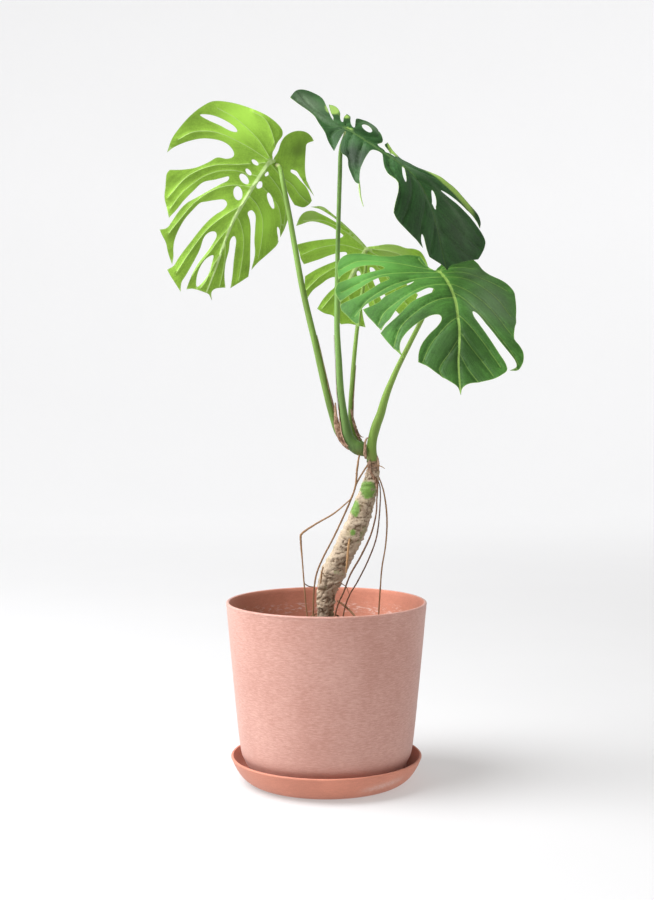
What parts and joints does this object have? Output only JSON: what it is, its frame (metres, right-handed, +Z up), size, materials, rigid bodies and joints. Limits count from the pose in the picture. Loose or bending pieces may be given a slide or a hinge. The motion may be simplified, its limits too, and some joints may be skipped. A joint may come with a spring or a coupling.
{
  "type": "potted monstera plant",
  "caption": "Split-leaf monstera with a leaning woody stem and aerial roots, growing in a round tapered pot that stands in a matching saucer.",
  "frame": {"origin": "centre of the saucer's flat underside, which rests on the surface", "axes": "+Z up; +Y away from the plant's open side, so its face looks along -Y; +X to the viewer's right"},
  "size_m": [0.425, 0.314, 0.8416],
  "materials": {
    "saucer": "matt salmon pink",
    "pot": "matt dusty pink, finely brushed",
    "soil": "dark crumbly compost",
    "bark": "grey-brown bark with leaf scars",
    "petiole": "smooth green stalk",
    "blade_pale": "light green leaf",
    "blade_dark": "glossy dark green leaf",
    "blade_mid": "satin mid green leaf",
    "sheath": "dry brown papery sheath",
    "root": "thin brown root"
  },
  "bodies": {
    "root": {"saucer": "saucer", "pot": "pot", "soil": "soil", "stem": "bark", "petiole_left": "petiole", "petiole_centre": "petiole", "petiole_back": "petiole", "petiole_right": "petiole", "blade_left": "blade_pale", "blade_top": "blade_dark", "blade_back": "blade_pale", "blade_right": "blade_mid", "sheath_left": "sheath", "sheath_centre": "sheath", "sheath_back": "sheath", "aerial_root_left": "root", "aerial_root_knee": "root", "aerial_root_front": "root", "aerial_root_slant": "root", "aerial_root_right": "root", "root_stub_front": "root", "root_stub_left": "root", "surface_root_front": "root", "surface_root_right": "root", "surface_root_left": "root"}
  },
  "joints": []
}
